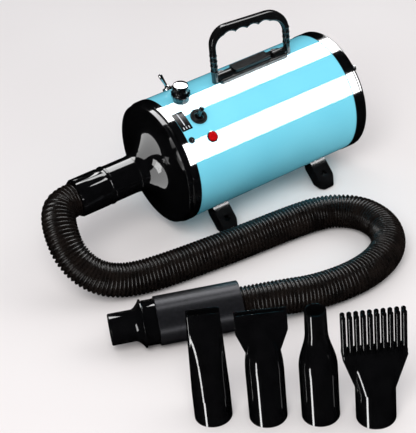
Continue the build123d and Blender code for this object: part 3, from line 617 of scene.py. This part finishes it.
class DRYER_OT_finishes(Operator):
    """Make every finish and give each carried-over design node its own"""

    bl_idname = "dryer.finishes"
    bl_label = "Finishes"

    def execute(self, context):
        for node in frame["nodes"].values():
            node.data.materials.clear()
        for plain in [m for m in bpy.data.materials if not m.users]:
            bpy.data.materials.remove(plain)
        for make in FINISHES:
            make()
        for part in frame["record"]["subparts"]:
            mesh = frame["nodes"][part["node"]].data
            mesh.materials.append(finish_named(part["material_slot"]))
        return {"FINISHED"}


class DRYER_OT_hose(Operator):
    """Build the corrugated hose along its route, from the cuff to the handset"""

    bl_idname = "dryer.hose"
    bl_label = "Hose"

    def execute(self, context):
        settings = context.scene.dryer_hose
        ends = [GRIP_START - GRIP_HEADING * HOSE_RUN_IN, GRIP_START + GRIP_HEADING * HOSE_SEAT]
        points = [Vector(p) for p in HOSE_ROUTE] + ends
        curve = bpy.data.curves.new("hose_route", "CURVE")
        curve.dimensions = "3D"
        curve.resolution_u = 8
        spline = curve.splines.new("NURBS")
        spline.points.add(len(points) - 1)
        for control, point in zip(spline.points, points):
            control.co = (*point, 1)
        spline.order_u = 3
        spline.use_endpoint_u = True
        route = bpy.data.objects.new("hose_route", curve)
        context.scene.collection.objects.link(route)
        context.view_layer.update()
        line = bpy.data.meshes.new_from_object(route)
        inputs = {
            "Pitch": settings.pitch,
            "Depth": settings.depth,
            "Radius": HOSE_R - 0.1 * MM,
            "Around": settings.around,
            "Steps": settings.steps,
            "Material": finish_named("hose_pvc"),
        }
        mesh = evaluated(self.ridges(inputs), "hose_ridged", inputs, route)
        bpy.data.objects.remove(route)
        piece = new_object("hose_ridged", mesh, "housing", "hose_pvc", ["hose"])
        self.handset_end()
        return {"FINISHED"}

    def ridges(self, inputs):
        """A tube along a curve, whose radius dips to a sharp groove once for each pitch."""
        tree, given = new_tree("hose_ridges", inputs, on_geometry=True)
        fine = add_node(
            tree,
            "GeometryNodeResampleCurve",
            {
                "Curve": given["Geometry"],
                "Length": calculated(tree, "DIVIDE", given["Pitch"], given["Steps"]),
            },
            mode="LENGTH",
        ).outputs[0]
        along = add_node(tree, "GeometryNodeSplineParameter").outputs["Length"]
        half_turns = calculated(tree, "MULTIPLY", calculated(tree, "DIVIDE", along, given["Pitch"]), pi)
        ridge = calculated(tree, "ABSOLUTE", calculated(tree, "SINE", half_turns))
        groove = calculated(tree, "MULTIPLY", calculated(tree, "SUBTRACT", 1, ridge), given["Depth"])
        radius = calculated(tree, "SUBTRACT", given["Radius"], groove)
        ring = add_node(
            tree, "GeometryNodeCurvePrimitiveCircle", {"Resolution": given["Around"], "Radius": 1}
        ).outputs[0]
        tube = add_node(
            tree,
            "GeometryNodeCurveToMesh",
            {"Curve": fine, "Profile Curve": ring, "Scale": radius, "Fill Caps": True},
        ).outputs[0]
        end_tree(tree, tube, given["Material"])
        return tree

    def handset_end(self):
        """The tapered end that the nozzles push onto, with flats on its collar."""
        collar = [
            (0.0165, 0.1),
            (0.0272, 0.1),
            (0.0276, 0.1015),
            (0.0276, 0.1175),
            (0.0268, 0.119),
            (0.0292, 0.119),
            (0.0297, 0.1195),
            (0.0297, 0.1205),
            (0.0292, 0.121),
            (0.026, 0.123),
            (0.0232, 0.1255),
            (0.0208, 0.128),
            (0.0193, 0.131),
            (0.0193, 0.159),
            (0.0185, 0.16),
            (0.0165, 0.16),
            (0.0165, 0.1),
        ]
        tip = lathe("handset_end", GRIP_START, GRIP_HEADING, collar, CUFF_SEGMENTS, fluted)
        return new_object("handset_end", tip, "housing", "black_gloss_abs", ["handset_adaptor"])


class DRYER_OT_cuffs(Operator):
    """Build the outer cuff with its lengthwise flats"""

    bl_idname = "dryer.cuffs"
    bl_label = "Cuffs"

    def execute(self, context):
        length = CUFF_JOINT_X - CUFF_END_X
        profile = [
            (0.019, 0),
            (0.0235, 0),
            (0.025, 0.0015),
            (0.025, length - 0.006),
            (0.0243, length - 0.005),
            (0.0243, length - 0.002),
            (0.0256, length - 0.0012),
            (0.0256, length + 0.001),
            (0.0248, length + 0.002),
            (0.0227, length + 0.002),
            (0.0227, length),
            (0.019, length),
            (0.019, 0),
        ]
        start = (CUFF_END_X, 0, AXIS_HEIGHT)
        cuff = lathe("cuff_fluted", start, (1, 0, 0), profile, CUFF_SEGMENTS, fluted)
        new_object("cuff_fluted", cuff, "housing", "black_gloss_abs", ["hose_cuff_outer"])
        return {"FINISHED"}


class DRYER_OT_handle(Operator):
    """Build the carrying handle's bail with finger grooves and ridged legs"""

    bl_idname = "dryer.handle"
    bl_label = "Handle"

    def execute(self, context):
        gap = 0.0004
        slim = 0.0006
        edge = 0.0028
        left = HANDLE_FRONT - gap
        right = HANDLE_REAR + gap
        foot = HINGE_Z - 0.006
        inner = corner_arcs(
            [
                (left - slim, foot),
                (left - slim, BAIL_FRONT_HEIGHT),
                (right + slim, BAIL_REAR_HEIGHT),
                (right + slim, foot),
            ],
            [0.014, 0.026],
        )
        outer = corner_arcs(
            [
                (right + BAIL_LEG - slim, foot),
                (right + BAIL_LEG - slim, BAIL_REAR_HEIGHT + BAIL_THICKNESS),
                (left - BAIL_LEG + slim, BAIL_FRONT_HEIGHT + BAIL_THICKNESS),
                (left - BAIL_LEG + slim, foot),
            ],
            [0.036, 0.024],
        )
        low = left + 0.013
        high = right - 0.022
        before = [p for p in inner if p.x < low]
        after = [p for p in inner if p.x > high]
        outline = [*before, *self.grooved_run(left, right, low, high), *after, *outer]
        bail = round_edged_plate("bail", outline, HINGE_Y, BAIL_DEPTH - 0.001, edge)
        mesh = joined("handle_grip", [bail, self.bands()])
        new_object("handle_grip", mesh, "handle", "black_nylon", ["handle_bail"])
        return {"FINISHED"}

    def grooved_run(self, left, right, low, high):
        """The grip's underside between two places, with a groove for each finger."""
        steps = 64
        grooves = 4
        groove_depth = 0.0034
        slope = (BAIL_REAR_HEIGHT - BAIL_FRONT_HEIGHT) / (right - left)
        run = []
        for step in range(steps + 1):
            x = low + (high - low) * step / steps
            share = (x - low) / (high - low)
            lift = groove_depth * abs(sin(pi * grooves * share)) ** 0.8
            run.append(Vector((x, BAIL_FRONT_HEIGHT + slope * (x - left) + lift)))
        return run

    def bands(self):
        """Rounded bands across both legs, one above the other."""
        inputs = {
            "Count": 4,
            "Pitch": 0.0075,
            "Low": 0.2,
            "Across": 0.1148,
            "Middle": 0.017,
            "Material": finish_named("black_nylon"),
        }
        tree, given = new_tree("leg_bands", inputs)
        ball = add_node(
            tree, "GeometryNodeMeshUVSphere", {"Segments": 24, "Rings": 12, "Radius": 1}
        ).outputs[0]
        band = add_node(
            tree, "GeometryNodeTransform", {"Geometry": ball, "Scale": (0.0047, 0.0058, 0.0027)}
        ).outputs[0]
        lowest = add_node(
            tree, "ShaderNodeCombineXYZ", {"X": given["Middle"], "Y": HINGE_Y, "Z": given["Low"]}
        ).outputs[0]
        upwards = add_node(tree, "ShaderNodeCombineXYZ", {"Z": given["Pitch"]}).outputs[0]
        rows = add_node(
            tree,
            "GeometryNodeMeshLine",
            {"Count": given["Count"], "Start Location": lowest, "Offset": upwards},
            mode="OFFSET",
        ).outputs[0]
        both = tree.nodes.new("GeometryNodeJoinGeometry")
        for side in (-1, 1):
            half = calculated(tree, "MULTIPLY", given["Across"], side / 2)
            aside = add_node(tree, "ShaderNodeCombineXYZ", {"X": half}).outputs[0]
            leg = add_node(tree, "GeometryNodeTransform", {"Geometry": rows, "Translation": aside})
            tree.links.new(leg.outputs[0], both.inputs[0])
        placed = add_node(
            tree, "GeometryNodeInstanceOnPoints", {"Points": both.outputs[0], "Instance": band}
        ).outputs[0]
        end_tree(tree, placed, given["Material"])
        return evaluated(tree, "leg_bands", inputs)


class DRYER_OT_controls(Operator):
    """Build the knob, the two switches, the lamp and the printed marks"""

    bl_idname = "dryer.controls"
    bl_label = "Controls"

    def execute(self, context):
        self.knob()
        self.heat_switch()
        self.power_switch()
        self.lamp()
        self.label()
        return {"FINISHED"}

    def knob(self):
        place, out = on_body(*KNOB_AT)
        lobes = 16
        scallop = 0.0005
        skirt = range(3, 9)

        def scalloped(number, angle, radius):
            """Scallops round the skirt, which is some of the profile's points."""
            if number not in skirt:
                return radius
            return radius - scallop * abs(sin(lobes / 2 * angle))

        profile = [
            (0.0031, 0.001),
            (0.0098, 0.001),
            (0.0104, 0.0018),
            (0.0106, 0.005),
            (0.0119, 0.0078),
            (0.0126, 0.0095),
            (0.0126, 0.0135),
            (0.012, 0.0148),
            (0.0106, 0.0162),
            (0.0102, 0.018),
            (0.01, 0.0235),
            (0.0094, 0.024),
            (0.0031, 0.024),
            (0.0031, 0.001),
        ]
        knob = lathe("knob_body", place, out, profile, 192, scalloped)
        new_object("knob_body", knob, "knob", "black_gloss_abs", ["speed_knob"])
        rim_r = 0.0096
        rim_height = 0.025
        rise = 0.001
        dome = [(0, 0.024), (rim_r, 0.024), (0.0099, 0.0244), (rim_r, rim_height)]
        for angle in range(15, 91, 15):
            across = rim_r * cos(radians(angle))
            dome.append((across, rim_height + rise * sin(radians(angle))))
        cap = lathe("knob_dome", place, out, dome, 96)
        new_object("knob_dome", cap, "knob", "chrome_plate", ["knob_cap"])

    def heat_switch(self):
        place, out = on_body(*TOGGLE_AT)
        ring = [(0.0064, 0.0003), (0.0105, 0.0003)]
        for step in range(9):
            angle = pi * step / 8 - pi / 6
            ring.append((0.0099 + 0.0011 * cos(angle), 0.0015 + 0.0012 * sin(angle)))
        ring += [(0.0082, 0.003), (0.0074, 0.0046), (0.0068, 0.005), (0.0064, 0.005), (0.0064, 0.0003)]
        boot = lathe("boot_ring", place, out, ring, 96)
        new_object("boot_ring", boot, "housing", "rubber_black", ["heat_switch_boot"])
        lever = [
            (0, -0.0015),
            (0.0018, -0.0015),
            (0.0018, 0.0036),
            (0.005, 0.0036),
            (0.0048, 0.0046),
            (0.0034, 0.009),
            (0.0026, 0.0125),
            (0.0024, 0.0165),
        ]
        ball_steps = 11
        neck = 0.5
        for step in range(1, ball_steps + 1):
            angle = -pi / 2 + neck + (pi - neck) * step / ball_steps
            lever.append((0.0035 * cos(angle), 0.02 + 0.0031 * sin(angle)))
        mesh = lathe("boot_lever", place - out * SWITCH_SINK, out, lever, 64)
        new_object(
            "boot_lever", mesh, "heat_lever", "rubber_black", ["heat_switch_lever"], "black_gloss_abs"
        )

    def power_switch(self):
        place, out = on_body(*LEVER_AT)
        leaning = Matrix.Rotation(-LEVER_TILT, 3, out.cross(Vector((1, 0, 0)))) @ out
        bat = [
            (0, -0.0015),
            (0.0018, -0.0015),
            (0.0018, 0.0025),
            (0.0034, 0.0035),
            (0.0036, 0.0055),
            (0.003, 0.0075),
            (0.0019, 0.0085),
            (0.0019, 0.012),
            (0.0027, 0.021),
            (0.0028, 0.0232),
            (0.0022, 0.0247),
            (0.0011, 0.0253),
            (0, 0.0255),
        ]
        lever = lathe("bat_lever", place - out * SWITCH_SINK, leaning, bat, 48)
        new_object("bat_lever", lever, "power_lever", "chrome_plate", ["power_switch_lever"])

    def lamp(self):
        place, out = on_body(*LAMP_AT)
        lens = [
            (0, -0.01),
            (0.005, -0.01),
            (0.005, 0.0017),
            (0.0062, 0.0017),
            (0.0062, 0.0026),
            (0.0056, 0.0031),
            (0.0042, 0.0035),
            (0.0022, 0.0036),
            (0, 0.0036),
        ]
        facets = 14
        mesh = lathe("lamp_cut_lens", place, out, lens, facets)
        for polygon in mesh.polygons:
            polygon.use_smooth = False
        new_object("lamp_cut_lens", mesh, "housing", "lamp_red", ["lamp_lens"])

    def label(self):
        """Light marks on the label: one long bar and three short ones."""
        middle = (LABEL_X[0] + LABEL_X[1]) / 2
        meshes = [self.patch(middle - 0.0012, middle + 0.0002, 20, 33)]
        for x in (middle - 0.0045, middle - 0.0006, middle + 0.0033):
            meshes.append(self.patch(x, x + 0.0012, 34.2, 36.6))
        mesh = joined("label_marks", meshes)
        new_object("label_marks", mesh, "housing", "label_black", finish="label_ink")

    def patch(self, low_x, high_x, low, high):
        """A thin patch that follows the label's face, between two places and two angles."""
        steps = 6
        vertices = []
        for radius in (BODY_R + 0.5 * MM, BODY_R + 0.57 * MM):
            for x in (low_x, high_x):
                for step in range(steps + 1):
                    vertices.append(on_body(x, low + (high - low) * step / steps, radius)[0])
        faces = []
        row = steps + 1
        for step in range(steps):
            near, far, near_top, far_top = (step + row * k for k in range(4))
            faces.append((near, near + 1, far + 1, far))
            faces.append((near_top, near_top + 1, far_top + 1, far_top))
            faces.append((near, near + 1, near_top + 1, near_top))
            faces.append((far, far + 1, far_top + 1, far_top))
        for step in (0, steps):
            faces.append((step, step + row, step + 3 * row, step + 2 * row))
        return mesh_from("patch", vertices, faces)


class DRYER_OT_stage(Operator):
    """Pale floor and studio lights"""

    bl_idname = "dryer.stage"
    bl_label = "Stage"
    banded = ("body_shell", "front_ring", "rear_ring", "rear_cover")

    def execute(self, context):
        settings = context.scene.dryer_lights
        self.floor(context)
        self.soft_light("key", (-1.3, -1.5, 2.2), 1.5, settings.key)
        self.soft_light("fill", (1.6, -1.2, 1.8), 1.5, settings.fill)
        self.body_lights(settings)
        self.general_lights(settings)
        self.nozzle_cards(settings.strip)
        world = bpy.data.worlds.new("world")
        world.use_nodes = True
        background = world.node_tree.nodes["Background"]
        background.inputs["Color"].default_value = linear("eef0f4")
        background.inputs["Strength"].default_value = settings.room
        context.scene.world = world
        world.cycles_visibility.glossy = False
        context.scene.view_settings.view_transform = "Standard"
        return {"FINISHED"}

    def body_lights(self, settings):
        """Two long strips that show as two white bands along the body and its bright rings."""
        body = self.only_on("body", [frame["nodes"][n] for n in self.banded])
        for name, (near, far) in BODY_BANDS.items():
            self.body_strip(name, near, far, settings.strip, body)

    def general_lights(self, settings):
        """Softer cards for the dark parts, which would be flat black without them."""
        lit_apart = {*self.banded, *NOZZLES}
        dark = [o for o in dryer_meshes() if o.name not in lit_apart]
        others = self.only_on("dark_parts", dark)
        self.mirror_card(
            "overhead_card",
            Vector((0, -0.1, 0.05)),
            Vector((0, -0.25, 1)).normalized(),
            2.2,
            (2.4, 1.1),
            settings.soft * 0.8,
            others,
        )
        horn = self.only_on("horn", [frame["nodes"]["front_cone"]])
        for name, angle in (("horn_high", 12), ("horn_low", 84)):
            point, out = on_body(-0.15, angle, 0.055)
            normal = (out + Vector((-1, 0, 0))).normalized()
            self.mirror_card(name, point, normal, 1.0, (1.1, 1.5), settings.soft * 0.3, horn)
        grip = self.only_on("grip", [frame["nodes"]["grip_sleeve"]])
        self.grip_bands(settings.soft, grip)
        at_rear = ("rear_cover", "rear_ring", "cable_gland")
        behind = self.only_on("rear_parts", [frame["nodes"][n] for n in at_rear])
        self.soft_card("rear_card", (1.6, 0.9, 1.1), 1.2, settings.soft * 0.5, behind)
        self.mirror_card(
            "side_card",
            Vector((-0.2, -0.05, 0.1)),
            Vector((-0.75, -0.55, 0.35)).normalized(),
            1.8,
            (0.7, 1.2),
            settings.soft * 0.6,
            others,
        )

    def floor(self, context):
        size = 8
        mesh = mesh_from(
            "floor",
            [(-size, -size, 0), (size, -size, 0), (size, size, 0), (-size, size, 0)],
            [(0, 1, 2, 3)],
        )
        material, tree, shader, place = start_material("floor_paper")
        shader.inputs["Roughness"].default_value = 0.7
        shade = spread(tree, place, 400, 0, 1, detail=1)
        tree.links.new(tinted(tree, shade, "ece6e4", "f1ecea"), shader.inputs["Base Color"])
        mesh.materials.append(material)
        floor = bpy.data.objects.new("floor", mesh)
        floor.visible_glossy = False
        context.scene.collection.objects.link(floor)
        return floor

    def only_on(self, name, objects):
        """A collection that limits a light to these objects."""
        group = bpy.data.collections.new("lit_" + name)
        for item in objects:
            group.objects.link(item)
        return group

    def card(self, name, matrix, size, radiance, receivers=None):
        """A rectangular light whose brightness doesn't depend on its size, for reflections only."""
        data = bpy.data.lights.new(name, "AREA")
        data.shape = "RECTANGLE"
        data.size = size[0]
        data.size_y = size[1]
        data.energy = radiance * size[0] * size[1] * pi
        light = bpy.data.objects.new(name, data)
        light.matrix_world = matrix
        bpy.context.scene.collection.objects.link(light)
        light.visible_camera = False
        light.visible_diffuse = False
        light.visible_transmission = False
        if receivers:
            light.light_linking.receiver_collection = receivers
            light.light_linking.blocker_collection = receivers
        return light

    def soft_light(self, name, place, size, power):
        """A large soft light that lights surfaces and isn't seen in reflections."""
        toward = Vector((-0.1, -0.1, 0.05)) - Vector(place)
        turn = toward.to_track_quat("-Z", "Y").to_matrix().to_4x4()
        light = self.card(name, Matrix.Translation(place) @ turn, (size, size), 1)
        light.data.energy = power
        light.visible_diffuse = True
        light.visible_glossy = False
        return light

    def soft_card(self, name, place, size, radiance, receivers):
        """A square card that faces the dryer and is seen in reflections."""
        toward = Vector((0, 0, AXIS_HEIGHT)) - Vector(place)
        turn = toward.to_track_quat("-Z", "Y").to_matrix().to_4x4()
        return self.card(name, Matrix.Translation(place) @ turn, (size, size), radiance, receivers)

    def mirror_card(
        self, name, point, normal, distance, size, radiance, receivers, up=Vector((0, 0, 1))
    ):
        """A card whose mirror image shows at a point that has this normal."""
        view = (bpy.context.scene.camera.matrix_world.translation - point).normalized()
        away = 2 * normal.dot(view) * normal - view
        side = up.cross(away).normalized()
        turn = Matrix((side, away.cross(side), away)).transposed().to_4x4()
        place = Matrix.Translation(point + away * distance)
        return self.card(name, place @ turn, size, radiance, receivers)

    def body_strip(self, name, near, far, radiance, receivers):
        """A strip whose mirror image fills the body between two angles from its top."""
        camera = bpy.context.scene.camera.matrix_world.translation
        view = (camera - Vector((0, 0, AXIS_HEIGHT))).normalized()
        view_angle = atan2(-view.y, view.z)
        low = 2 * radians(near) - view_angle
        high = 2 * radians(far) - view_angle
        middle = (low + high) / 2
        reach = 1.6
        width = 2 * reach * sin((high - low) / 2)
        sideways = -view.x / sqrt(view.y**2 + view.z**2)
        away = Vector((0, -sin(middle), cos(middle)))
        centre = Vector((sideways * reach, 0, AXIS_HEIGHT)) + away * reach
        along = Vector((1, 0, 0))
        turn = Matrix((along, away.cross(along), away)).transposed().to_4x4()
        return self.card(name, Matrix.Translation(centre) @ turn, (1.6, width), radiance, receivers)

    def grip_bands(self, radiance, receivers):
        """Two long soft cards that show as two bands along the handset's sleeve."""
        across = GRIP_HEADING.cross(Vector((0, 0, 1))).normalized()
        view = bpy.context.scene.camera.matrix_world.translation - GRIP_START
        if across.dot(view) < 0:
            across = -across
        for name, angle, share in (("grip_high", 22, 0.55), ("grip_low", 78, 0.4)):
            normal = Vector((0, 0, cos(radians(angle)))) + across * sin(radians(angle))
            point = GRIP_START + GRIP_HEADING * 0.05 + normal * GRIP_R
            size = (1.6, 0.16)
            self.mirror_card(name, point, normal, 0.7, size, radiance * share, receivers, across)

    def nozzle_cards(self, radiance):
        """A narrow card for each nozzle, that shows as an upright line left of its middle."""
        aside = radians(-24)
        height = 0.11
        view = bpy.context.scene.camera.matrix_world.translation
        for name, (x, y) in NOZZLES.items():
            toward = Vector((view.x - x, view.y - y, 0)).normalized()
            normal = Matrix.Rotation(aside, 3, "Z") @ toward
            point = Vector((x, y, height)) + normal * NOZZLE_R
            receivers = self.only_on(name, [frame["nodes"][name]])
            card = name + "_card"
            self.mirror_card(card, point, normal, 0.5, (0.06, 0.3), radiance * 0.35, receivers)


class DRYER_PT_panel(Panel):
    """The dryer's operators and settings."""

    bl_label = "Pet dryer"
    bl_idname = "DRYER_PT_panel"
    bl_space_type = "VIEW_3D"
    bl_region_type = "UI"
    bl_category = "Dryer"

    def draw(self, context):
        column = self.layout.column()
        for settings in (context.scene.dryer_hose, context.scene.dryer_lights):
            for key in settings.__annotations__:
                column.prop(settings, key)
        for operator in OPERATORS:
            column.operator(operator.bl_idname)


OPERATORS = [
    DRYER_OT_camera,
    DRYER_OT_finishes,
    DRYER_OT_hose,
    DRYER_OT_cuffs,
    DRYER_OT_handle,
    DRYER_OT_controls,
    DRYER_OT_stage,
]
SETTINGS = {"dryer_hose": HoseSettings, "dryer_lights": LightSettings}


def register():
    for group in SETTINGS.values():
        bpy.utils.register_class(group)
    for name, group in SETTINGS.items():
        setattr(bpy.types.Scene, name, PointerProperty(type=group))
    for item in (*OPERATORS, DRYER_PT_panel):
        bpy.utils.register_class(item)


def unregister():
    for item in (DRYER_PT_panel, *reversed(OPERATORS)):
        bpy.utils.unregister_class(item)
    for name, group in SETTINGS.items():
        delattr(bpy.types.Scene, name)
        bpy.utils.unregister_class(group)


def main():
    """Build everything in order."""
    register()
    for operator in OPERATORS:
        getattr(bpy.ops.dryer, operator.bl_idname.split(".")[1])()


if __name__ == "__main__":
    main()
